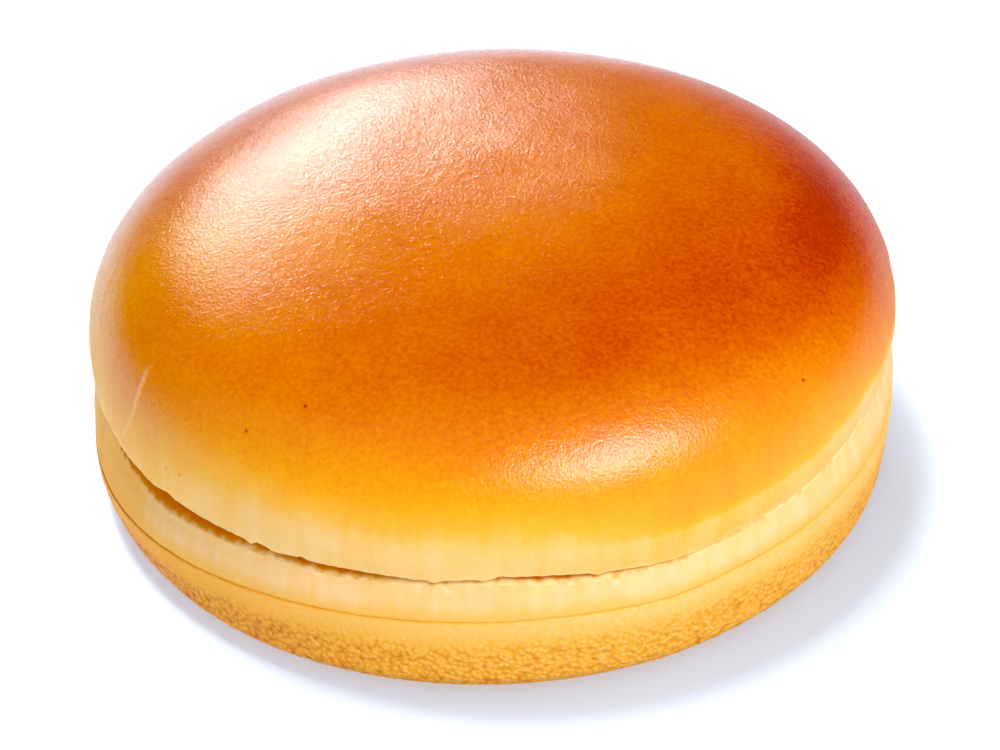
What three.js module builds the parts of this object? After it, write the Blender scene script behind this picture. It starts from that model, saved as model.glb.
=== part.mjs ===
// A round burger bun, sliced through in two halves that lie on each other as baked.
// Millimetres, +Z up, origin at the middle of the flat base. -Y is the side that shows the open cut.
import * as THREE from "three";

// Driving dimensions
const BUN_RADIUS = 51; // the crown at its widest
const BUN_HEIGHT = 41; // base to the top of the dome
const SHOULDER_HEIGHT = 21.5; // level where the crown is widest
const DOME_FULLNESS = 2.55; // exponent of the dome's curve: 2 is round, more is flatter on top
const CUT_HEIGHT = 17.8; // the knife cut, at the middle of the bun
const CUT_RISE = 1.5; // the cut climbs this much from the middle to the +X rim
const SEAM_HEIGHT = 12.2; // top of the wall that baked against the pan
const BASE_CORNER = 4.2; // rounding between the wall and the flat base

// Uneven rising of the dough
const CROWN_LEAN = 0.7; // the dome stands this much higher at its +X side
const SWELL = 0.25; // soft waves over the dome
const SWELL_LENGTH = 9; // radius over which a wave turns by one radian
const SWELL_FROM = 4; // radius where the waves begin
const SWELL_FULL = 20; // and where they are full

// Radii that differ a little from the bun's own
const CROWN_EDGE_RADIUS = BUN_RADIUS - 0.45; // the crown at the cut
const HEEL_EDGE_RADIUS = BUN_RADIUS - 0.7; // the heel at the cut
const BAND_RADIUS = BUN_RADIUS - 0.15; // the pale band bulges over the seam
const SEAM_RADIUS = BUN_RADIUS - 0.55; // bottom of the seam's crease
const WALL_RADIUS = BUN_RADIUS + 0.05; // the pan wall just under the seam
const BASE_RADIUS = BUN_RADIUS - 0.7; // the pan wall just over the base's rounding

// The opening of the cut
const REST_GAP = 0.4; // between the halves where they lie on each other
const MOUTH_DEPTH = 9; // how far in from the rim the cut wanders and gapes
const CUT_FADE = 6; // above the shoulder, where the crown stops following the cut
const TEAR_FADE = 2.5; // above the cut, where the torn edge ends
const EDGE_ROUNDING = 0.7; // of the crown's crisp edge; the heel's is softer
const CREASE_LIP = 1; // from the seam's bottom to the wall under it and the band over it
const STRETCH_DEPTH = 7; // how far in from the rim the band's stretch marks reach
const STRETCH_FULL = 0.4; // share of the band's height where they are full

// Facets
const AROUND = 96;
const DOME_STEPS = 17;
const CUT_RINGS = [0, 14, 27, 37, 43, 47]; // radii of the vertices across the cut face
const BASE_RINGS = [0, 20, 36]; // and across the base

// The rim's unevenness: humps are [height, middle in degrees, half width in degrees]
const CUT_WANDER = [[0.65, 228, 32], [0.45, 271, 7], [-1.45, 297, 12], [-0.8, 317, 10], [0.9, 346, 14]];
const MOUTH = [[1.7, 221, 17], [0.4, 246, 9], [0.35, 279, 9]];
const SEAM_SAG = [[5.2, 190, 45], [0.6, 294, 8]];

// Waves are [height, waves per turn, phase in radians]
const PLAN_WAVES = [[0.0096, 2, -0.3], [0.0035, 3, 0.3]]; // as fractions of the radius
const CROWN_TEAR = [[0.08, 19, 0.4]];
const HEEL_TEAR = [[0.06, 23, 1.7]];
const BAND_STRETCH = [[0.12, 17, 0.9], [0.09, 29, 2.6]];

const FULL_TURN = Math.PI * 2;
const QUARTER_TURN = Math.PI / 2;

// Smooth step from 0 at a to 1 at b
const ease = (a, b, value) => THREE.MathUtils.smoothstep(value, a, b);

const waves = (angle, terms) =>
  terms.reduce((sum, [height, count, phase]) => sum + height * Math.sin(count * angle + phase), 0);

const humps = (angle, terms) =>
  terms.reduce((sum, [height, middle, width]) => {
    const away = THREE.MathUtils.euclideanModulo(angle - THREE.MathUtils.degToRad(middle), FULL_TURN);
    const nearest = Math.min(away, FULL_TURN - away);
    return sum + height * Math.exp(-((nearest / THREE.MathUtils.degToRad(width)) ** 2));
  }, 0);

// How far the cut climbs at a place across the bun
const cutClimb = (x) => (CUT_RISE * x) / BUN_RADIUS;

// A point of a profile, and the points of a quarter ellipse up to it from the one before.
// A bowl leaves along the radius, and a dome leaves along the height.
const point = (radius, height) => new THREE.Vector2(radius, height);
const bowl = (turn) => [Math.sin(turn), 1 - Math.cos(turn)];
const dome = (turn) => [1 - Math.cos(turn), Math.sin(turn)];

function quarter(profile, radius, height, steps, kind) {
  const from = profile[profile.length - 1];
  for (let i = 1; i <= steps; i++) {
    const [across, up] = kind((i / steps) * QUARTER_TURN);
    profile.push(point(from.x + (radius - from.x) * across, from.y + (height - from.y) * up));
  }
}

// Spins a profile about Z, then moves each vertex by shape(radius, height, angle, x)
function spun(profile, shape) {
  const geometry = new THREE.LatheGeometry(profile, AROUND).rotateX(QUARTER_TURN);
  const place = geometry.attributes.position;
  for (let i = 0; i < place.count; i++) {
    const [x, y, z] = [place.getX(i), place.getY(i), place.getZ(i)];
    const angle = Math.atan2(y, x);
    const moved = shape(Math.hypot(x, y), z, angle, x);
    const radius = moved.radius * (1 + waves(angle, PLAN_WAVES));
    place.setXYZ(i, radius * Math.cos(angle), radius * Math.sin(angle), moved.height);
  }
  geometry.computeVertexNormals();
  return geometry;
}

// Crown: the cut face, a crisp lower edge, the short side up to the shoulder, and the dome
function crownGeometry() {
  const profile = CUT_RINGS.map((radius) => point(radius, CUT_HEIGHT));
  profile.push(point(CROWN_EDGE_RADIUS - EDGE_ROUNDING, CUT_HEIGHT));
  quarter(profile, CROWN_EDGE_RADIUS, CUT_HEIGHT + EDGE_ROUNDING, 2, bowl);
  quarter(profile, BUN_RADIUS, SHOULDER_HEIGHT, 2, bowl);
  for (let i = 1; i < DOME_STEPS; i++) {
    const turn = (i / DOME_STEPS) * QUARTER_TURN;
    const radius = BUN_RADIUS * Math.cos(turn) ** (2 / DOME_FULLNESS);
    const rise = (BUN_HEIGHT - SHOULDER_HEIGHT) * Math.sin(turn) ** (2 / DOME_FULLNESS);
    profile.push(point(radius, SHOULDER_HEIGHT + rise));
  }
  profile.push(point(0, BUN_HEIGHT));

  return spun(profile, (radius, height, angle, x) => {
    const atRim = ease(BUN_RADIUS - MOUTH_DEPTH, CROWN_EDGE_RADIUS, radius);
    const atCut = 1 - ease(CUT_HEIGHT, SHOULDER_HEIGHT + CUT_FADE, height);
    const atEdge = 1 - ease(CUT_HEIGHT, CUT_HEIGHT + TEAR_FADE, height);
    const cut = cutClimb(x) + atRim * humps(angle, CUT_WANDER);
    const tear = atRim * waves(angle, CROWN_TEAR);
    const lean = (CROWN_LEAN * x) / BUN_RADIUS;
    const wave = Math.sin(radius / SWELL_LENGTH + 2 * angle);
    const swell = SWELL * wave * ease(SWELL_FROM, SWELL_FULL, radius);
    return { radius, height: height + atCut * cut + atEdge * tear + (1 - atCut) * (lean + swell) };
  });
}

// Heel: the flat base, its rounded corner, the pan wall, the seam's crease, the pale band, the cut face
function heelGeometry() {
  const top = CUT_HEIGHT - REST_GAP;
  const bandTop = top - 2 * EDGE_ROUNDING;
  const profile = BASE_RINGS.map((radius) => point(radius, 0));
  profile.push(point(BASE_RADIUS - BASE_CORNER, 0));
  quarter(profile, BASE_RADIUS, BASE_CORNER, 5, bowl);
  profile.push(point((BASE_RADIUS + WALL_RADIUS) / 2, (BASE_CORNER + SEAM_HEIGHT) / 2));
  profile.push(point(WALL_RADIUS, SEAM_HEIGHT - CREASE_LIP));
  profile.push(point(SEAM_RADIUS, SEAM_HEIGHT));
  profile.push(point(BAND_RADIUS, SEAM_HEIGHT + CREASE_LIP));
  profile.push(point(BAND_RADIUS, (SEAM_HEIGHT + CREASE_LIP + bandTop) / 2));
  profile.push(point(HEEL_EDGE_RADIUS, bandTop));
  quarter(profile, HEEL_EDGE_RADIUS - 1.5 * EDGE_ROUNDING, top, 3, dome);
  profile.push(...CUT_RINGS.toReversed().map((radius) => point(radius, top)));

  return spun(profile, (radius, height, angle, x) => {
    const atRim = ease(BUN_RADIUS - MOUTH_DEPTH, HEEL_EDGE_RADIUS, radius);
    const uneven = humps(angle, CUT_WANDER) + waves(angle, HEEL_TEAR) - humps(angle, MOUTH);
    const cut = top + cutClimb(x) + atRim * uneven;
    const seam = SEAM_HEIGHT - humps(angle, SEAM_SAG);
    const overSeam = (height - SEAM_HEIGHT) / (top - SEAM_HEIGHT);
    const onBand = ease(0, STRETCH_FULL, overSeam) * ease(BUN_RADIUS - STRETCH_DEPTH, SEAM_RADIUS, radius);
    return {
      radius: radius + onBand * waves(angle, BAND_STRETCH),
      height: overSeam <= 0 ? (height * seam) / SEAM_HEIGHT : seam + overSeam * (cut - seam),
    };
  });
}

const bakedCrust = new THREE.MeshStandardMaterial({ color: 0xc8661a, roughness: 0.4, metalness: 0 });
const paleCrust = new THREE.MeshStandardMaterial({ color: 0xe9bd78, roughness: 0.75, metalness: 0 });

const crown = new THREE.Mesh(crownGeometry(), bakedCrust);
crown.name = "crown";
const heel = new THREE.Mesh(heelGeometry(), paleCrust);
heel.name = "heel";

const bun = new THREE.Group();
bun.add(crown, heel);

// The origin is the middle of the bun's own width and depth
const reach = new THREE.Box3().setFromObject(bun);
const middle = reach.getCenter(new THREE.Vector3());
bun.position.set(-middle.x, -middle.y, -reach.min.z);

export default bun;
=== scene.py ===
import math

import bpy
import numpy as np
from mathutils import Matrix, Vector


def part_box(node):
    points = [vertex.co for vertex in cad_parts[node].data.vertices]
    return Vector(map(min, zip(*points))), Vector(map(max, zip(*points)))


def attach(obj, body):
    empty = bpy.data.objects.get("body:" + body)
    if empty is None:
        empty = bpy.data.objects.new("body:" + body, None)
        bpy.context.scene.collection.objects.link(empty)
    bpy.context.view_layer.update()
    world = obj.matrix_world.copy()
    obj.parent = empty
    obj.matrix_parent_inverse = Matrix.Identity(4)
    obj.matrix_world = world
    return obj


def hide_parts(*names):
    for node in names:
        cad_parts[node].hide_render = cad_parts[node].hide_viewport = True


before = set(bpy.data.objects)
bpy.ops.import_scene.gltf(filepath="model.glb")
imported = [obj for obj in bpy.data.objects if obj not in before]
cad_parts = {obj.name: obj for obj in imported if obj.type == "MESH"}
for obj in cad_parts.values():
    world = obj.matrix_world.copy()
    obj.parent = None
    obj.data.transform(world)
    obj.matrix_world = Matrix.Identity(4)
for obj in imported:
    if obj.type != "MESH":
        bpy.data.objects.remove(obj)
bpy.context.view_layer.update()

# Camera.
# A long lens 60 cm away looks down on the front of the bun, where the cut stands open at the left.
# It aims a little below the bun, so that the bun sits high in the picture, and leans slightly.
MM = 0.001
IMAGE_WIDTH = 1000
CAMERA_DISTANCE = 600 * MM
CAMERA_ELEVATION = math.radians(34.3)
CAMERA_LEAN = math.radians(0.52)
PIXELS_PER_MM = 7.9
SIGHT_POINT = Vector((-0.2, 0.2, 20.3)) * MM
AIM_RIGHT = 1.06 * MM
AIM_DOWN = 6.72 * MM
BLACK_LEVEL = 0.02  # a contrasty print, so that the browned crust stays saturated

camera_data = bpy.data.cameras.new("camera")
camera_data.sensor_width = 36
camera_data.lens = PIXELS_PER_MM * CAMERA_DISTANCE / MM * camera_data.sensor_width / IMAGE_WIDTH
camera = bpy.data.objects.new("camera", camera_data)
bpy.context.scene.collection.objects.link(camera)
bpy.context.scene.camera = camera
to_camera = Vector((0, -math.cos(CAMERA_ELEVATION), math.sin(CAMERA_ELEVATION)))
camera_up = Vector((0, math.sin(CAMERA_ELEVATION), math.cos(CAMERA_ELEVATION)))
camera.location = SIGHT_POINT + to_camera * CAMERA_DISTANCE
aim = SIGHT_POINT + Vector((AIM_RIGHT, 0, 0)) - camera_up * AIM_DOWN
camera.rotation_euler = (aim - camera.location).to_track_quat("-Z", "Y").to_euler()
camera.rotation_euler.rotate_axis("Z", -CAMERA_LEAN)
view = bpy.context.scene.view_settings
view.view_transform = "Standard"
view.use_curve_mapping = True
view.curve_mapping.black_level = (BLACK_LEVEL, BLACK_LEVEL, BLACK_LEVEL)
view.curve_mapping.update()

# Floor and studio light.
# A plain pale table, lit from below as well, so that it stays bright under the bun's edge. One soft light
# stands behind, to the left, and lies on the dome as a long sheen. The other stands in front, to the right.
# Both are turned a little on their own axis. A third light is for the table alone.
FLOOR_SIZE = 8.0
FLOOR_TINT = "#D2E3F8"
FLOOR_GLOW = 0.43
FLOOR_GLOW_TINT = "#D7E5FD"
DARKENS_FROM = 20 * MM  # mirrored in the crust, the table is darker towards the right
DARKENS_TO = 46 * MM
DARKENS_BY = 0.5
LIGHT_DISTANCE = 1.6
BACK_LIGHT = {"turn": 105, "elevation": 23.8, "wide": 28, "tall": 8, "lean": 28, "radiance": 17.5}
FRONT_LIGHT = {"turn": 313, "elevation": 47.5, "wide": 26, "tall": 23, "lean": 20, "radiance": 13.0}
TABLE_LIGHT = {"turn": 142, "elevation": 75, "wide": 13, "tall": 13, "lean": 0, "radiance": 46.0}
ROOM_TINT = (0.95, 0.97, 1.0, 1.0)
ROOM_LIGHT = 0.59
ROOM_BEHIND = 0.2  # as a share of the room's light, so that the dome mirrors a dark wall


def linear(colour):
    """A colour written as sRGB hex, as linear red, green, blue and alpha."""
    parts = [int(colour[i:i + 2], 16) / 255 for i in (1, 3, 5)]
    return tuple(c / 12.92 if c <= 0.04045 else ((c + 0.055) / 1.055) ** 2.4 for c in parts) + (1.0,)


def new_material(name):
    """An empty material, its node tree, and its output's surface socket."""
    material = bpy.data.materials.new(name)
    material.use_nodes = True
    material.node_tree.nodes.clear()
    output = material.node_tree.nodes.new("ShaderNodeOutputMaterial")
    return material, material.node_tree, output.inputs["Surface"]


def add(tree, kind, values=None, links=None, **settings):
    """Adds a node, sets its properties and its inputs' values, and links sockets to its inputs."""
    made = tree.nodes.new(kind)
    for name, setting in settings.items():
        setattr(made, name, setting)
    for socket, value in (values or {}).items():
        made.inputs[socket].default_value = value
    for socket, source in (links or {}).items():
        tree.links.new(source, made.inputs[socket])
    return made


bpy.ops.mesh.primitive_plane_add(size=FLOOR_SIZE, location=(0, 0, 0))
floor = bpy.context.object
floor.name = "floor"

# Matt paint, rolled on: no sheen of its own, so the shadow stays soft and even
floor_material, tree, surface = new_material("painted_table")
mirrored = add(tree, "ShaderNodeLightPath").outputs["Is Glossy Ray"]
across = add(tree, "ShaderNodeSeparateXYZ", {}, {0: add(tree, "ShaderNodeTexCoord").outputs["Object"]})
at_right = add(tree, "ShaderNodeMapRange",
               {"From Min": DARKENS_FROM, "From Max": DARKENS_TO, "To Max": DARKENS_BY},
               {"Value": across.outputs["X"]})
dim = add(tree, "ShaderNodeMath", {}, {0: mirrored, 1: at_right.outputs["Result"]}, operation="MULTIPLY")
shade = add(tree, "ShaderNodeMix", {"A": linear(FLOOR_TINT), "B": linear("#000000")},
            {"Factor": dim.outputs[0]}, data_type="RGBA")
glow = add(tree, "ShaderNodeMath", {1: -FLOOR_GLOW, 2: FLOOR_GLOW}, {0: dim.outputs[0]},
           operation="MULTIPLY_ADD")
paint = add(tree, "ShaderNodeBsdfPrincipled", {"Roughness": 0.8, "Emission Color": linear(FLOOR_GLOW_TINT)},
            {"Base Color": shade.outputs["Result"], "Emission Strength": glow.outputs[0]})
tree.links.new(paint.outputs["BSDF"], surface)
floor.data.materials.append(floor_material)

table_only = bpy.data.collections.new("table_only")
table_only.objects.link(floor)
food_only = bpy.data.collections.new("food_only")
for name, light, lit in (("back_light", BACK_LIGHT, None), ("front_light", FRONT_LIGHT, food_only),
                         ("table_light", TABLE_LIGHT, table_only)):
    lamp_data = bpy.data.lights.new(name, "AREA")
    lamp_data.shape = "RECTANGLE"
    lamp_data.size = 2 * LIGHT_DISTANCE * math.tan(math.radians(light["wide"] / 2))
    lamp_data.size_y = 2 * LIGHT_DISTANCE * math.tan(math.radians(light["tall"] / 2))
    lamp_data.energy = light["radiance"] * math.pi * lamp_data.size * lamp_data.size_y
    lamp = bpy.data.objects.new(name, lamp_data)
    bpy.context.scene.collection.objects.link(lamp)
    lamp.light_linking.receiver_collection = lit
    turn, elevation = math.radians(light["turn"]), math.radians(light["elevation"])
    flat = LIGHT_DISTANCE * math.cos(elevation)
    lamp.location = (flat * math.cos(turn), flat * math.sin(turn), LIGHT_DISTANCE * math.sin(elevation))
    lamp.rotation_euler = (-lamp.location).to_track_quat("-Z", "Y").to_euler()
    lamp.rotation_euler.rotate_axis("Z", math.radians(light["lean"]))

room = bpy.data.worlds.new("room")
bpy.context.scene.world = room
room.use_nodes = True
background = room.node_tree.nodes["Background"]
background.inputs["Color"].default_value = ROOM_TINT
toward = add(room.node_tree, "ShaderNodeSeparateXYZ", {},
             {0: add(room.node_tree, "ShaderNodeTexCoord").outputs["Generated"]})
fading = add(room.node_tree, "ShaderNodeMapRange",
             {"From Min": 0.05, "From Max": 0.6, "To Min": ROOM_LIGHT, "To Max": ROOM_BEHIND * ROOM_LIGHT},
             {"Value": toward.outputs["Y"]})
room.node_tree.links.new(fading.outputs["Result"], background.inputs["Strength"])

# Crown.
# The domed top half of the bun: soft wheat dough, brushed with egg and baked, so a thin glossy crust.
# A sharp knife cut it from the heel, which left a crisp, slightly torn lower edge.
BUN_RADIUS = 51.0
BUN_HEIGHT = 41.0
SHOULDER_HEIGHT = 21.5
DOME_FULLNESS = 2.55
CUT_HEIGHT = 17.8
CUT_RISE = 1.5
CROWN_LEAN = 0.7
SWELL = 0.25
SWELL_LENGTH = 9.0
CROWN_EDGE_RADIUS = BUN_RADIUS - 0.45
MOUTH_DEPTH = 9.0
LIP_ROUNDING = 0.2
CROWN_DROP = 0.16  # the crown comes down by this much, to meet the heel
CUT_WANDER = [(0.65, 228, 32), (0.45, 271, 7), (-1.45, 297, 12), (-0.8, 317, 10), (0.9, 346, 14)]
CUT_TEARS = [(0.5, 200, 4), (-0.3, 214.5, 2.5), (0.3, 218.5, 1.5), (-0.4, 235, 0.7), (0.2, 236.5, 1.0),
             (-0.25, 239, 1.3), (0.3, 243, 0.8), (0.25, 252, 5), (0.2, 276, 6), (-0.3, 268.5, 0.8),
             (0.2, 271, 1.0), (-0.35, 262, 0.7), (-0.3, 284, 0.9)]
TORN_HEIGHT = 1.6  # how far up from the cut the tears reach
PLAN_WAVES = [(0.0096, 2, -0.3), (0.0035, 3, 0.3)]
CROWN_STEPS = 150
CUTS_IN_STEP = 3
FULL_TURN = 2 * math.pi
QUARTER_TURN = math.pi / 2


def ease(a, b, value):
    """A smooth step from 0 at a to 1 at b."""
    share = np.clip((value - a) / (b - a), 0, 1)
    return share * share * (3 - 2 * share)


def waves(angle, terms):
    """Waves round the bun, each (height, waves per turn, phase)."""
    return sum(height * np.sin(count * angle + phase) for height, count, phase in terms)


def humps(angle, terms):
    """Single humps round the bun, each (height, middle and half width in degrees)."""
    total = np.zeros_like(angle)
    for height, middle, width in terms:
        away = (angle - math.radians(middle) + math.pi) % FULL_TURN - math.pi
        total += height * np.exp(-(away / math.radians(width)) ** 2)
    return total


def grain(points, size, octaves=1, seed=0):
    """Smooth noise of about -1 to 1 at points in millimetres, with lumps of about the given size."""
    total = np.zeros(len(points))
    for octave in range(octaves):
        place = points / size * 2 ** octave + 17.3 * octave
        cell = np.floor(place).astype(np.int64)
        inside = place - cell
        blend = inside ** 3 * (inside * (inside * 6 - 15) + 10)
        for corner in np.ndindex(2, 2, 2):
            node = (cell + corner) * (73856093, 19349663, 83492791)
            mixed = (node[:, 0] ^ node[:, 1] ^ node[:, 2] ^ (seed * 2654435761 + octave)) & 0xFFFFFFFF
            mixed = ((mixed ^ (mixed >> 15)) * 2246822519) & 0xFFFFFFFF
            mixed = ((mixed ^ (mixed >> 13)) * 3266489917) & 0xFFFFFFFF
            slopes = np.stack([(mixed >> shift) & 1023 for shift in (0, 10, 20)], 1) / 511.5 - 1
            share = np.where(corner, blend, 1 - blend).prod(1)
            total += share * (slopes * (inside - corner)).sum(1) * 1.4 / 2 ** octave
    return total


def cut_climb(x):
    """The knife's plane rises towards +X."""
    return CUT_RISE * x / BUN_RADIUS


def turn_of(x, y):
    """The turn round the bun, in degrees from 0 to 360, with the front at 270."""
    return np.degrees(np.arctan2(y, x)) % 360


def spun(name, profile, steps):
    """A point is extruded along the profile and spun, and each step is then cut in four round the axis."""
    bpy.ops.object.select_all(action="DESELECT")
    bpy.ops.mesh.primitive_plane_add(size=MM, location=(0, 0, 0))
    piece = bpy.context.object
    piece.name = name
    bpy.ops.object.mode_set(mode="EDIT")
    bpy.ops.mesh.select_mode(type="VERT")
    bpy.ops.mesh.merge(type="CENTER")
    place = Vector((0, 0, 0))
    for i, (radius, height) in enumerate(profile):
        step = Vector((radius, 0, height)) * MM - place
        if i == 0:
            bpy.ops.transform.translate(value=step)
        else:
            bpy.ops.mesh.extrude_region_move(TRANSFORM_OT_translate={"value": step})
        place += step
    bpy.ops.mesh.select_all(action="SELECT")
    bpy.ops.mesh.spin(steps=steps, angle=FULL_TURN, center=(0, 0, 0), axis=(0, 0, 1))
    bpy.ops.mesh.select_all(action="SELECT")
    bpy.ops.mesh.remove_doubles(threshold=0.002 * MM)
    bpy.ops.mesh.normals_make_consistent(inside=False)
    bpy.ops.mesh.select_mode(type="EDGE")
    bpy.ops.mesh.select_all(action="DESELECT")
    bpy.ops.object.mode_set(mode="OBJECT")
    ends = np.empty(len(piece.data.edges) * 2, int)
    piece.data.edges.foreach_get("vertices", ends)
    points = places(piece)
    flat = np.stack([np.hypot(points[:, 0], points[:, 1]), points[:, 2]], 1)[ends.reshape(-1, 2)]
    piece.data.edges.foreach_set("select", np.abs(flat[:, 0] - flat[:, 1]).max(1) < 0.001)
    bpy.ops.object.mode_set(mode="EDIT")
    bpy.ops.mesh.subdivide(number_cuts=CUTS_IN_STEP)
    bpy.ops.mesh.select_all(action="DESELECT")
    bpy.ops.object.mode_set(mode="OBJECT")
    points = places(piece)
    step_angle = FULL_TURN / steps
    from_middle = np.arctan2(points[:, 1], points[:, 0]) % step_angle - step_angle / 2
    points[:, :2] *= (np.cos(from_middle) / math.cos(step_angle / 2))[:, None]
    put(piece, points)
    return piece


def places(piece):
    """The vertices of a piece in millimetres."""
    co = np.empty(len(piece.data.vertices) * 3)
    piece.data.vertices.foreach_get("co", co)
    return co.reshape(-1, 3) / MM


def put(piece, points):
    """Moves the vertices of a piece to points in millimetres."""
    piece.data.vertices.foreach_set("co", (points * MM).ravel())
    piece.data.update()


def out_of(piece):
    """The direction that points out of the surface at each vertex."""
    normals = np.empty(len(piece.data.vertices) * 3)
    piece.data.vertex_normals.foreach_get("vector", normals)
    return normals.reshape(-1, 3)


def refine(piece, chosen, cuts):
    """Subdivides the faces whose middle the function chooses, given in millimetres."""
    middles = np.empty(len(piece.data.polygons) * 3)
    piece.data.polygons.foreach_get("center", middles)
    keep = chosen(*(middles.reshape(-1, 3) / MM).T)
    bpy.ops.object.mode_set(mode="EDIT")
    bpy.ops.mesh.select_mode(type="FACE")
    bpy.ops.mesh.select_all(action="DESELECT")
    bpy.ops.object.mode_set(mode="OBJECT")
    piece.data.polygons.foreach_set("select", keep)
    bpy.ops.object.mode_set(mode="EDIT")
    bpy.ops.mesh.subdivide(number_cuts=cuts)
    bpy.ops.mesh.select_all(action="DESELECT")
    bpy.ops.object.mode_set(mode="OBJECT")


def store(piece, name, values):
    """Keeps one number at each vertex, for the piece's material."""
    attribute = piece.data.attributes.new(name, "FLOAT", "POINT")
    attribute.data.foreach_set("value", values.astype(np.float32))


def settle(piece, node):
    """Puts the piece's middle over its CAD node's, and leaves its heights alone."""
    low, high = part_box(node)
    points = places(piece)
    middle = (points.min(0) + points.max(0)) / 2
    put(piece, points + np.array([(low.x + high.x) / 2 / MM, (low.y + high.y) / 2 / MM, middle[2]]) - middle)


# The profile runs from the middle of the cut face out to the lip, up the side and over the dome
crown_profile = [(r, CUT_HEIGHT) for r in (0, 10, 20, 30, 36, 40)]
crown_profile += [(r, CUT_HEIGHT) for r in np.linspace(42, CROWN_EDGE_RADIUS - LIP_ROUNDING, 14)]
for turn in np.linspace(0, QUARTER_TURN, 5)[1:]:
    crown_profile.append((CROWN_EDGE_RADIUS - LIP_ROUNDING * (1 - math.sin(turn)),
                          CUT_HEIGHT + LIP_ROUNDING * (1 - math.cos(turn))))
side_start = CUT_HEIGHT + LIP_ROUNDING
for share in np.linspace(0, 1, 10)[1:]:
    turn = share * QUARTER_TURN
    crown_profile.append((CROWN_EDGE_RADIUS + (BUN_RADIUS - CROWN_EDGE_RADIUS) * math.sin(turn),
                          side_start + (SHOULDER_HEIGHT - side_start) * share))
DOME_HEIGHT = BUN_HEIGHT - SHOULDER_HEIGHT
dome_turns = np.linspace(0, 1, 76)[1:-1] ** 1.25 * QUARTER_TURN
for turn in dome_turns:
    crown_profile.append((BUN_RADIUS * math.cos(turn) ** (2 / DOME_FULLNESS),
                          SHOULDER_HEIGHT + DOME_HEIGHT * math.sin(turn) ** (2 / DOME_FULLNESS)))
crown_profile.append((0, BUN_HEIGHT))

crown = spun("crown_crust", crown_profile, CROWN_STEPS)

FINE_EDGE_TOP = CUT_HEIGHT + 1.2


def is_torn_edge(x, y, z):
    """Whether a place lies on the edge that the knife tore."""
    return (np.hypot(x, y) > 47) & (z < FINE_EDGE_TOP)


def is_wrinkled(x, y, z):
    """Whether a place lies on the side that will have the steep wrinkles."""
    turn = turn_of(x, y)
    return (turn > 200) & (turn < 213) & (z > FINE_EDGE_TOP) & (z < 34)


# Finer faces for the smallest relief
refine(crown, is_torn_edge, 1)
refine(crown, is_wrinkled, 2)

points = places(crown)
x, y, height = points.T
radius, angle = np.hypot(x, y), np.arctan2(y, x)
at_rim = ease(BUN_RADIUS - MOUTH_DEPTH, CROWN_EDGE_RADIUS, radius)
at_cut = 1 - ease(CUT_HEIGHT, SHOULDER_HEIGHT + 6, height)
at_edge = 1 - ease(CUT_HEIGHT, CUT_HEIGHT + TORN_HEIGHT, height)
rim_points = np.stack([50 * np.cos(angle), 50 * np.sin(angle), np.zeros_like(angle)], 1)
torn = humps(angle, CUT_TEARS) + 0.1 * grain(rim_points, 1.6, 2, 5) + 0.09 * grain(rim_points, 0.6, 2, 6)
lean = CROWN_LEAN * x / BUN_RADIUS
swell = SWELL * np.sin(radius / SWELL_LENGTH + 2 * angle) * ease(4, 20, radius)
rise = at_cut * (cut_climb(x) + at_rim * humps(angle, CUT_WANDER)) + at_edge * at_rim * torn
rise += (1 - at_cut) * (lean + swell) - CROWN_DROP * at_cut
plan = 1 + waves(angle, PLAN_WAVES)
put(crown, np.stack([x * plan, y * plan, height + rise], 1))

# Soft unevenness of the risen dough, and folds stretched down the pale side
outside = ease(CUT_HEIGHT + 0.2, CUT_HEIGHT + 0.6, height)
dough = 0.1 * grain(points, 15, 2, 1) + 0.016 * grain(points, 5, 2, 2)
side_grain = grain(points * (1, 1, 0.16), 2.6, 2, 3)
folds = 0.06 * side_grain * (1 - ease(24, 31, height))

# Thin raised wrinkles at the left, each from (turn, height) to (turn, height), with a bend
WRINKLE_HALF_WIDTH = 0.3
FULL_WRINKLE = 0.26  # relief at which a wrinkle is at its palest
WRINKLES = [((209.5, 31.0), (207.2, 21.0), -2.2, 0.16), ((203.5, 24.5), (202.0, 19.4), -0.5, 0.14),
            ((181.8, 31.5), (194.2, 27.0), 0.0, 0.1)]

# Tiny burnt marks, at (turn, height)
MARKS = [(219.8, 22.2), (222.5, 22.7), (239.5, 34.3), (322.2, 30.9), (232.0, 31.0)]
turn_degrees = turn_of(x, y)
wrinkle = np.zeros_like(angle)
for (from_turn, from_height), (to_turn, to_height), bend, relief in WRINKLES:
    along = np.clip((from_height - height) / (from_height - to_height), 0, 1)
    line = from_turn + (to_turn - from_turn) * along - bend * np.sin(math.pi * along)
    across = (turn_degrees - line) * math.radians(1) * BUN_RADIUS
    inside = ease(to_height - 0.8, to_height + 1.5, height)
    inside *= 1 - ease(from_height - 1.5, from_height + 0.8, height)
    wrinkle += relief * np.exp(-(across / WRINKLE_HALF_WIDTH) ** 2) * inside
put(crown, places(crown) + out_of(crown) * (outside * (dough + folds + wrinkle))[:, None])

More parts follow.
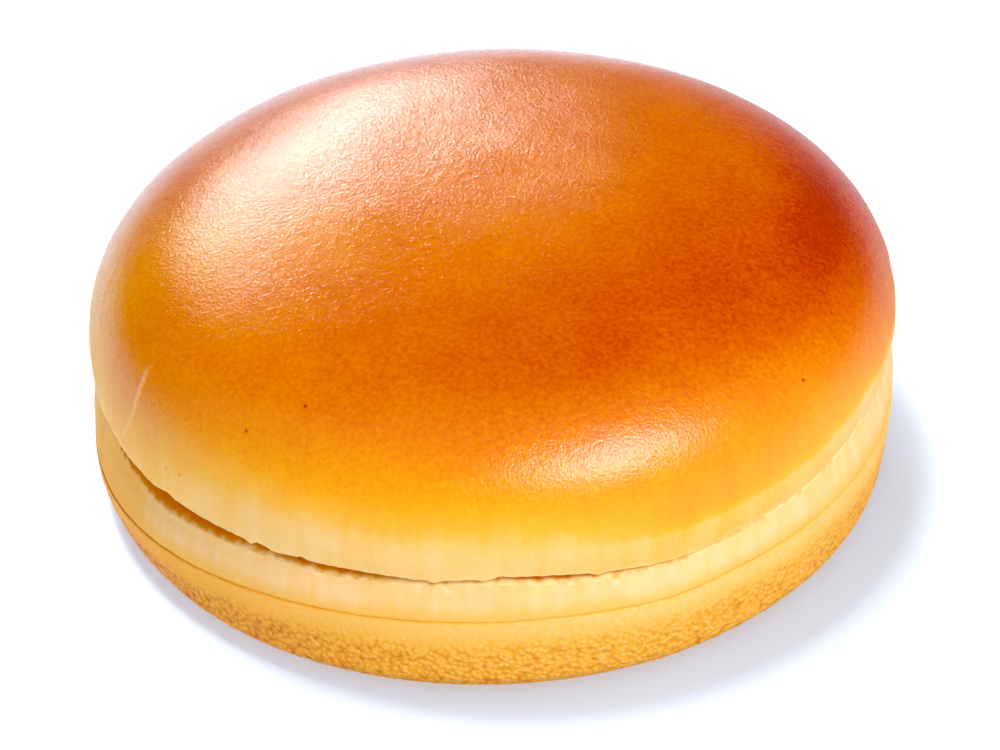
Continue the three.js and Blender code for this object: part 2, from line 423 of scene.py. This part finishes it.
# How brown the crust is: cream at the cut, amber above the shoulder, deepest at the right of the dome.
# The climb is 0 degrees at the shoulder and 90 at the top. Each patch is a hump round the bun, with the
# climbs over which it comes and goes.
BROWN_BY_CLIMB = [(0, 0.07), (5, 0.12), (17, 0.33), (29, 0.53), (38, 0.64), (52, 0.66), (90, 0.62)]
BROWN_PATCHES = [((0.2, 318, 78), (33, 50), (58, 84)), ((0.37, 5, 38), (-2, 8), (36, 54)),
                 ((0.22, 303, 20), (-4, 5), (5, 30)), ((0.15, 211, 16), (-2, -1), (18, 42)),
                 ((0.08, 198, 12), (-2, -1), (2, 12)), ((-0.13, 184, 14), (6, 18), (45, 60)),
                 ((-0.14, 203, 22), (35, 48), (62, 80))]
over_shoulder = np.maximum(height - SHOULDER_HEIGHT, 0) * BUN_RADIUS / DOME_HEIGHT
climb = np.degrees(np.arctan2(over_shoulder, radius))
browning = np.interp(climb, *zip(*BROWN_BY_CLIMB))
for hump, comes, goes in BROWN_PATCHES:
    browning += humps(angle, [hump]) * ease(*comes, climb) * (1 - ease(*goes, climb))
store(crown, "browning", browning * ease(CUT_HEIGHT + 0.1, CUT_HEIGHT + 0.5, height))
store(crown, "wrinkle", wrinkle / FULL_WRINKLE)
# Deep in the crown's cut face the crumb gets painted shade and a painted glow
store(crown, "cut_shade_and_glow", 1 - ease(CROWN_EDGE_RADIUS - 0.9, CROWN_EDGE_RADIUS - 0.2, radius))
store(crown, "side", 1 - ease(22, 33, height))
settle(crown, "crown")
mark_places = []
for mark_turn, mark_height in MARKS:
    nearest = np.argmin(np.abs(turn_degrees - mark_turn) + 2 * np.abs(height - mark_height))
    mark_places.append(tuple(crown.data.vertices[int(nearest)].co))
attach(crown, "root")
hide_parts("crown")
food_only.objects.link(crown)


def shifted(tree, level, pattern, amount, where=None):
    """Moves a level by how far a pattern of 0 to 1 is from its middle, times the amount, where it is let."""
    away = add(tree, "ShaderNodeMath", {1: 0.5}, {0: pattern}, operation="SUBTRACT").outputs[0]
    if where is not None:
        away = add(tree, "ShaderNodeMath", {}, {0: away, 1: where}, operation="MULTIPLY").outputs[0]
    moved = add(tree, "ShaderNodeMath", {1: amount}, {0: away, 2: level}, operation="MULTIPLY_ADD")
    return moved.outputs[0]


def tint(ramp, stops):
    """Gives a colour ramp its stops, each (position, sRGB hex)."""
    for position, colour in stops[1:-1]:
        ramp.color_ramp.elements.new(position)
    for element, (position, colour) in zip(ramp.color_ramp.elements, stops):
        element.position = position
        element.color = linear(colour)


# Sizes of the crust's patterns. The leather is the glaze's fine wrinkling, which sparkles in the highlights.
LEATHER_SIZE = 0.36 * MM
LEATHER_DEPTH = 0.069 * MM
DIMPLE_SIZE = 1.1 * MM
DIMPLE_DEPTH = 0.05 * MM
DULL_PATCH_SIZE = 0.4 * MM
STREAK_SIZE = 2.4 * MM
BLOTCH_SIZE = 7 * MM
SPECKLE_SIZE = 0.6 * MM
GLOSSIEST = 0.12  # roughness of the glaze at its smoothest and at its dullest
DULLEST = 0.22
SIDE_DULLER = 0.35  # the pale side got little glaze
MARK_CORE = 0.12 * MM
MARK_RIM = 0.35 * MM
GLAZE_TONES = [(0.0, "#F8C87A"), (0.14, "#FABC55"), (0.23, "#F9B01A"), (0.33, "#F7A501"), (0.52, "#EE8C01"),
               (0.64, "#E57A01"), (0.74, "#DB6901"), (0.84, "#D05601"), (0.92, "#C44501"), (1.0, "#B43401")]
WRINKLE_TONE = "#FBDCAE"


# Wheat crust, brushed with egg and baked: the browned starch gives amber to deep orange, and the egg dries
# to a thin clear film, so the lights lie on it as bright, slightly grainy patches
def glazed_crust():
    """The material of the crown's outside."""
    material, tree, surface = new_material("egg_glazed_crust")
    spot = add(tree, "ShaderNodeTexCoord").outputs["Object"]
    brown = add(tree, "ShaderNodeAttribute", attribute_name="browning").outputs["Fac"]
    side = add(tree, "ShaderNodeAttribute", attribute_name="side").outputs["Fac"]
    ridge = add(tree, "ShaderNodeAttribute", attribute_name="wrinkle").outputs["Fac"]
    upright = add(tree, "ShaderNodeMapping", {"Scale": (1, 1, 0.16)}, {"Vector": spot})
    streak = add(tree, "ShaderNodeTexNoise", {"Scale": 1 / STREAK_SIZE, "Detail": 3},
                 {"Vector": upright.outputs[0]})
    blotch = add(tree, "ShaderNodeTexNoise", {"Scale": 1 / BLOTCH_SIZE, "Detail": 3}, {"Vector": spot})
    speckle = add(tree, "ShaderNodeTexNoise", {"Scale": 1 / SPECKLE_SIZE, "Detail": 3}, {"Vector": spot})
    top = add(tree, "ShaderNodeMath", {1: -0.75, 2: 1.0}, {0: side}, operation="MULTIPLY_ADD").outputs[0]
    level = shifted(tree, brown, streak.outputs["Fac"], 0.24, side)
    level = shifted(tree, level, blotch.outputs["Fac"], 0.16)
    level = shifted(tree, level, speckle.outputs["Fac"], 0.36, top)
    for mark_place in mark_places:
        away = add(tree, "ShaderNodeVectorMath", {1: mark_place}, {0: spot}, operation="DISTANCE")
        burnt = add(tree, "ShaderNodeMapRange",
                    {"From Min": MARK_CORE, "From Max": MARK_RIM, "To Min": 0.4, "To Max": 0.0},
                    {"Value": away.outputs["Value"]})
        level = add(tree, "ShaderNodeMath", {}, {0: level, 1: burnt.outputs["Result"]}).outputs[0]
    ramp = add(tree, "ShaderNodeValToRGB", {}, {0: level})
    tint(ramp, GLAZE_TONES)
    fade = add(tree, "ShaderNodeMath", {1: 0.6}, {0: ridge}, operation="MULTIPLY")
    pale = add(tree, "ShaderNodeMix", {"B": linear(WRINKLE_TONE)},
               {"Factor": fade.outputs[0], "A": ramp.outputs["Color"]}, data_type="RGBA")

    leather = add(tree, "ShaderNodeTexNoise", {"Scale": 1 / LEATHER_SIZE, "Detail": 3}, {"Vector": spot})
    dimples = add(tree, "ShaderNodeTexNoise", {"Scale": 1 / DIMPLE_SIZE, "Detail": 2}, {"Vector": spot})
    fine = add(tree, "ShaderNodeBump", {"Strength": 1.0, "Distance": LEATHER_DEPTH},
               {"Height": leather.outputs["Fac"]})
    coarse = add(tree, "ShaderNodeBump", {"Strength": 1.0, "Distance": DIMPLE_DEPTH},
                 {"Height": dimples.outputs["Fac"], "Normal": fine.outputs["Normal"]})
    patches = add(tree, "ShaderNodeTexNoise", {"Scale": 1 / DULL_PATCH_SIZE, "Detail": 2}, {"Vector": spot})
    dull = add(tree, "ShaderNodeMapRange",
               {"From Min": 0.42, "From Max": 0.62, "To Min": GLOSSIEST, "To Max": DULLEST},
               {"Value": patches.outputs["Fac"]})
    matt = add(tree, "ShaderNodeMath", {1: SIDE_DULLER}, {0: side, 2: dull.outputs["Result"]},
               operation="MULTIPLY_ADD")
    crust = add(tree, "ShaderNodeBsdfPrincipled", {"IOR": 1.5},
                {"Base Color": pale.outputs["Result"], "Roughness": matt.outputs[0],
                 "Normal": coarse.outputs["Normal"]})
    tree.links.new(crust.outputs["BSDF"], surface)
    return material


PORE_SIZE = 1.1 * MM
PORE_DEPTH = 0.15 * MM
CRUMB_AND_PORE_SHADE_TONES = [(0.15, "#E6AC58"), (0.55, "#F8D28E")]
PAINTED_SHADE_TONE = "#B46A04"
PAINTED_GLOW_TONE = "#D07C00"
PAINTED_GLOW_STRENGTH = 0.3


# Wheat crumb, cut with a knife: matt, full of small round pores with thin walls. Deep in the cut it is
# painted a dark warm brown as painted shade, with a faint orange painted glow, so the shaded cut looks warm
# brown and not grey
def soft_crumb():
    """The material of both cut faces."""
    material, tree, surface = new_material("cut_crumb")
    spot = add(tree, "ShaderNodeTexCoord").outputs["Object"]
    pores = add(tree, "ShaderNodeTexVoronoi", {"Scale": 1 / PORE_SIZE}, {"Vector": spot},
                feature="SMOOTH_F1")
    # The pores' middles are painted darker than their walls: painted shade in the hollows
    walls = add(tree, "ShaderNodeValToRGB", {}, {0: pores.outputs["Distance"]})
    tint(walls, CRUMB_AND_PORE_SHADE_TONES)
    cut_shade_and_glow = add(tree, "ShaderNodeAttribute", attribute_name="cut_shade_and_glow").outputs["Fac"]
    # Painted shade deep in the cut, and a faint painted glow
    crumb_with_painted_shade = add(tree, "ShaderNodeMix", {"B": linear(PAINTED_SHADE_TONE)},
                 {"Factor": cut_shade_and_glow, "A": walls.outputs["Color"]}, data_type="RGBA")
    painted_glow = add(tree, "ShaderNodeMath", {1: PAINTED_GLOW_STRENGTH}, {0: cut_shade_and_glow}, operation="MULTIPLY")
    relief = add(tree, "ShaderNodeBump", {"Strength": 1.0, "Distance": PORE_DEPTH},
                 {"Height": pores.outputs["Distance"]})
    crumb = add(tree, "ShaderNodeBsdfPrincipled",
                {"Roughness": 0.9, "IOR": 1.2, "Emission Color": linear(PAINTED_GLOW_TONE)},
                {"Base Color": crumb_with_painted_shade.outputs["Result"], "Normal": relief.outputs["Normal"],
                 "Emission Strength": painted_glow.outputs[0]})
    tree.links.new(crumb.outputs["BSDF"], surface)
    return material


def lay_crumb(piece, is_cut):
    """Gives the faces of the cut the crumb's material, and smooths all of the piece."""
    middles = np.empty(len(piece.data.polygons) * 3)
    piece.data.polygons.foreach_get("center", middles)
    piece.data.polygons.foreach_set("material_index", is_cut(*(middles.reshape(-1, 3) / MM).T).astype(int))
    piece.data.polygons.foreach_set("use_smooth", np.ones(len(piece.data.polygons), bool))


crumb_material = soft_crumb()
crown.data.materials.append(glazed_crust())
crown.data.materials.append(crumb_material)
normals = np.empty(len(crown.data.polygons) * 3)
crown.data.polygons.foreach_get("normal", normals)
facing_down = normals.reshape(-1, 3)[:, 2] < -0.7
lay_crumb(crown, lambda x, y, z: facing_down)

# Heel.
# The bottom half: a pale band that rose over the rim of the pan, a seam where the rim stood, and below it
# the wall and the base that baked against the metal, so they are golden and coarse.
SEAM_HEIGHT = 12.2
BASE_CORNER = 4.2
HEEL_EDGE_RADIUS = BUN_RADIUS - 0.7
BAND_RADIUS = BUN_RADIUS
SEAM_RADIUS = BUN_RADIUS - 0.13
WALL_RADIUS = BUN_RADIUS + 0.05
BASE_RADIUS = BUN_RADIUS - 0.7
REST_GAP = 0.4
HEEL_RISE = 0.16  # the heel comes up by this much, to meet the crown
EDGE_SOFTNESS = 1.3
SEAM_LIP = 0.35
MOUTH = [(1.9, 216, 19), (0.55, 248, 10), (0.5, 279, 9)]
SEAM_SAG = [(5.2, 190, 43), (0.6, 294, 8)]
HEEL_STEPS = 200
WALL_LUMP_SIZE = 1.0
WALL_PIT_SIZE = 1.2
STRETCH_SIZE = 1.6
BULGE_SIZE = 5
LEFT_STEP_DEPTH = 0.2  # the band stands lower near its left end
FLAKES = [(245.2, 16.1, 0.5), (259.5, 16.0, 0.35), (263.5, 16.2, 0.4), (286.5, 15.6, 0.45)]
FLAKE_RELIEF = 0.18
RIM_DEGREE = 0.887  # millimetres of the rim in one degree
LOWEST_CUT = 14

heel_top = CUT_HEIGHT - REST_GAP
heel_profile = [(r, 0) for r in (0, 12, 24, 34, 40, 44)]
for turn in np.linspace(0, QUARTER_TURN, 16):
    heel_profile.append((BASE_RADIUS - BASE_CORNER * (1 - math.sin(turn)),
                         BASE_CORNER * (1 - math.cos(turn))))
wall_top = SEAM_HEIGHT - SEAM_LIP
for wall_height in np.linspace(BASE_CORNER, wall_top, 24)[1:]:
    share = (wall_height - BASE_CORNER) / (wall_top - BASE_CORNER)
    wall_radius = BASE_RADIUS + (WALL_RADIUS - BASE_RADIUS) * math.sin(share * QUARTER_TURN)
    heel_profile.append((wall_radius, wall_height))
for step in (-0.75, -0.5, -0.25, -0.1, 0, 0.1, 0.25, 0.5, 0.75, 1.0):
    depth = 1 - abs(step)
    outer = WALL_RADIUS if step < 0 else BAND_RADIUS
    heel_profile.append((outer - (outer - SEAM_RADIUS) * depth ** 1.5, SEAM_HEIGHT + step * SEAM_LIP))
band_top = heel_top - EDGE_SOFTNESS
for band_height in np.linspace(SEAM_HEIGHT + SEAM_LIP, band_top, 12)[1:]:
    share = (band_height - SEAM_HEIGHT) / (band_top - SEAM_HEIGHT)
    heel_profile.append((BAND_RADIUS - (BAND_RADIUS - HEEL_EDGE_RADIUS) * share ** 3, band_height))
for turn in np.linspace(0, QUARTER_TURN, 8)[1:]:
    heel_profile.append((HEEL_EDGE_RADIUS - EDGE_SOFTNESS * (1 - math.cos(turn)),
                         band_top + EDGE_SOFTNESS * math.sin(turn)))
heel_profile += [(r, heel_top) for r in np.linspace(HEEL_EDGE_RADIUS - EDGE_SOFTNESS, 42, 14)[1:]]
heel_profile += [(r, heel_top) for r in (38, 30, 20, 10, 0)]

heel = spun("heel_crust", heel_profile, HEEL_STEPS)
points = places(heel)
x, y, height = points.T
radius, angle = np.hypot(x, y), np.arctan2(y, x)
at_rim = ease(BUN_RADIUS - MOUTH_DEPTH, HEEL_EDGE_RADIUS, radius)
rim_points = np.stack([50 * np.cos(angle), 50 * np.sin(angle), np.zeros_like(angle)], 1)
uneven = humps(angle, CUT_WANDER) - humps(angle, MOUTH) + 0.1 * grain(rim_points, 2.2, 3, 8)
cut = heel_top + HEEL_RISE + cut_climb(x) + at_rim * uneven
seam = SEAM_HEIGHT - humps(angle, SEAM_SAG) + 0.08 * grain(rim_points, 3.0, 2, 9)
over_seam = (height - SEAM_HEIGHT) / (heel_top - SEAM_HEIGHT)
moved = np.where(over_seam <= 0, height * seam / SEAM_HEIGHT, seam + over_seam * (cut - seam))
plan = 1 + waves(angle, PLAN_WAVES)
put(heel, np.stack([x * plan, y * plan, moved], 1))

# The wall's coarse crust, and the band's stretch marks, which run up from the seam
on_wall = (1 - 0.8 * ease(-1.1, -0.4, over_seam)) * (over_seam < 0) * ease(0.2, 1.2, height)
lumps = grain(points * (1, 1, 0.85), WALL_LUMP_SIZE, 2, 11)
pits = ease(0.1, 0.6, -grain(points * (1, 1, 0.8), WALL_PIT_SIZE, 2, 12))
wall_relief = on_wall * (0.07 * lumps - 0.08 * pits)
on_band = ease(0.0, 0.35, over_seam) * (1 - ease(0.85, 1.0, over_seam)) * ease(48, 50, radius)
stretch = grain(points * (1, 1, 0.1), STRETCH_SIZE, 2, 13)
turn_degrees = turn_of(x, y)
left_step = (1 - ease(211.6, 212.8, turn_degrees)) * ease(185, 195, turn_degrees)
bulges = grain(points * (1, 1, 0.6), BULGE_SIZE, 2, 14)
band_relief = 0.05 * stretch + 0.12 * bulges - LEFT_STEP_DEPTH * left_step

# Pale crumb flakes that the knife left on the band, each (turn, height, size), and the foot tucked in at
# the left
flakes = np.zeros_like(angle)
for flake_turn, flake_height, size in FLAKES:
    along = (turn_degrees - flake_turn) * RIM_DEGREE
    flakes += np.exp(-(along ** 2 + (moved - flake_height) ** 2) / size ** 2)
flakes *= ease(47, 49.5, radius)
tuck = 0.55 * humps(angle, [(1, 207, 20)]) * (1 - ease(2, 10, height))
relief = wall_relief + on_band * band_relief - tuck + FLAKE_RELIEF * flakes
put(heel, places(heel) + out_of(heel) * relief[:, None])

# How golden the crust is: least on the band, more on the wall, most in the seam. The wall's pits are
# also painted darker, as painted shade, and its lumps lighter, as painted light
seam_width = 0.16 + humps(angle, [(0.5, 340, 30)])
near_seam = np.exp(-((moved - seam + 0.02) / seam_width) ** 2) * ease(48, 50, radius)
near_seam *= 1 - humps(angle, [(0.72, 327, 58)]) + 0.4 * grain(rim_points, 4, 2, 15)
wall_toast = 0.23 + 0.25 * ease(-0.1, -1.1, over_seam) + humps(angle, [(0.17, 222, 30)])
band_toast = 0.14 + 0.18 * (1 - ease(0.0, 0.5, over_seam))
toast_and_shade = np.where(over_seam <= 0, wall_toast, band_toast)
toast_and_shade += humps(angle, [(0.05, 335, 40), (0.06, 255, 36), (0.19, 197, 23)]) + 0.08 * on_band * left_step
# Painted shade in the wall's pits and painted light on its lumps
toast_and_shade += 0.27 * near_seam + on_wall * (0.08 * pits - 0.04 * ease(0, 0.6, lumps))
store(heel, "toast_and_shade", toast_and_shade * (1 - np.minimum(flakes, 1)))
store(heel, "coarse", on_wall * (1 - humps(angle, [(0.5, 198, 24)])))
store(heel, "band", on_band)
ragged = 0.45 * grain(points, 1.4, 3, 16) - 0.75 * np.minimum(humps(angle, MOUTH), 1)
# Deep in the heel's cut, wider at the open mouth, the crumb gets painted shade and a painted glow
store(heel, "cut_shade_and_glow", 1 - ease(HEEL_EDGE_RADIUS - 1.4, HEEL_EDGE_RADIUS - 0.6, radius + ragged))
settle(heel, "heel")
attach(heel, "root")
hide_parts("heel")
food_only.objects.link(heel)


CRUMB_SIZE = 0.66 * MM
CRUMB_DEPTH = 0.3 * MM
UNEVEN_SIZE = 1.5 * MM
UNEVEN_PULL = 0.3 * MM  # how far it pulls the crumbs out of round
SKIN_SIZE = 0.7 * MM
SKIN_DEPTH = 0.09 * MM
BAND_STREAK_SIZE = 1.8 * MM
PAN_TONES = [(0.0, "#F9D09A"), (0.15, "#F8C786"), (0.32, "#F7BA58"), (0.5, "#FAAE36"), (0.66, "#F09E24"),
             (0.82, "#DA821A"), (1.0, "#B46014")]


# Wheat crust baked against a metal pan: dry and matt, grainy where its crumbs stuck to the pan, and the
# gaps between them are painted darker, as painted shade. Above the seam it only dried in the oven's air,
# so it is a pale, soft, streaky skin
def pan_crust():
    """The material of the heel's outside."""
    material, tree, surface = new_material("pan_baked_crust")
    spot = add(tree, "ShaderNodeTexCoord").outputs["Object"]
    toast_and_shade = add(tree, "ShaderNodeAttribute", attribute_name="toast_and_shade").outputs["Fac"]
    coarse = add(tree, "ShaderNodeAttribute", attribute_name="coarse").outputs["Fac"]
    band = add(tree, "ShaderNodeAttribute", attribute_name="band").outputs["Fac"]
    upright = add(tree, "ShaderNodeMapping", {"Scale": (1, 1, 0.1)}, {"Vector": spot})
    streak = add(tree, "ShaderNodeTexNoise", {"Scale": 1 / BAND_STREAK_SIZE, "Detail": 3},
                 {"Vector": upright.outputs[0]})
    uneven = add(tree, "ShaderNodeTexNoise", {"Scale": 1 / UNEVEN_SIZE, "Detail": 2}, {"Vector": spot})
    pulled = add(tree, "ShaderNodeVectorMath", {1: (0.5, 0.5, 0.5)}, {0: uneven.outputs["Color"]},
                 operation="SUBTRACT")
    pull = add(tree, "ShaderNodeVectorMath", {"Scale": UNEVEN_PULL}, {0: pulled.outputs[0]},
               operation="SCALE")
    wavy = add(tree, "ShaderNodeVectorMath", {}, {0: spot, 1: pull.outputs[0]}, operation="ADD")
    crumbs = add(tree, "ShaderNodeTexVoronoi", {"Scale": 1 / CRUMB_SIZE, "Smoothness": 0.4},
                 {"Vector": wavy.outputs[0]}, feature="SMOOTH_F1")
    level = shifted(tree, toast_and_shade, streak.outputs["Fac"], -0.3, band)
    # Painted shade in the gaps between the wall's crumbs, which the bump below sinks
    level = shifted(tree, level, crumbs.outputs["Distance"], 0.6, coarse)
    level = shifted(tree, level, uneven.outputs["Fac"], 0.3, coarse)
    ramp = add(tree, "ShaderNodeValToRGB", {}, {0: level})
    tint(ramp, PAN_TONES)
    lump = add(tree, "ShaderNodeMath", {}, {0: crumbs.outputs["Distance"], 1: coarse}, operation="MULTIPLY")
    rough = add(tree, "ShaderNodeBump", {"Strength": 1.0, "Distance": CRUMB_DEPTH},
                {"Height": lump.outputs[0]}, invert=True)
    skin = add(tree, "ShaderNodeTexNoise", {"Scale": 1 / SKIN_SIZE, "Detail": 3}, {"Vector": spot})
    soft = add(tree, "ShaderNodeBump", {"Strength": 1.0, "Distance": SKIN_DEPTH},
               {"Height": skin.outputs["Fac"], "Normal": rough.outputs["Normal"]})
    crust = add(tree, "ShaderNodeBsdfPrincipled", {"Roughness": 0.7, "IOR": 1.45},
                {"Base Color": ramp.outputs["Color"], "Normal": soft.outputs["Normal"]})
    tree.links.new(crust.outputs["BSDF"], surface)
    return material


heel.data.materials.append(pan_crust())
heel.data.materials.append(crumb_material)
normals = np.empty(len(heel.data.polygons) * 3)
heel.data.polygons.foreach_get("normal", normals)
facing_up = normals.reshape(-1, 3)[:, 2] > 0.35


def inside_edge(x, y):
    """Whether a place lies within the band's top edge."""
    return np.hypot(x, y) < (HEEL_EDGE_RADIUS - 0.2) * (1 + waves(np.arctan2(y, x), PLAN_WAVES))


lay_crumb(heel, lambda x, y, z: facing_up & (z > LOWEST_CUT) & inside_edge(x, y))
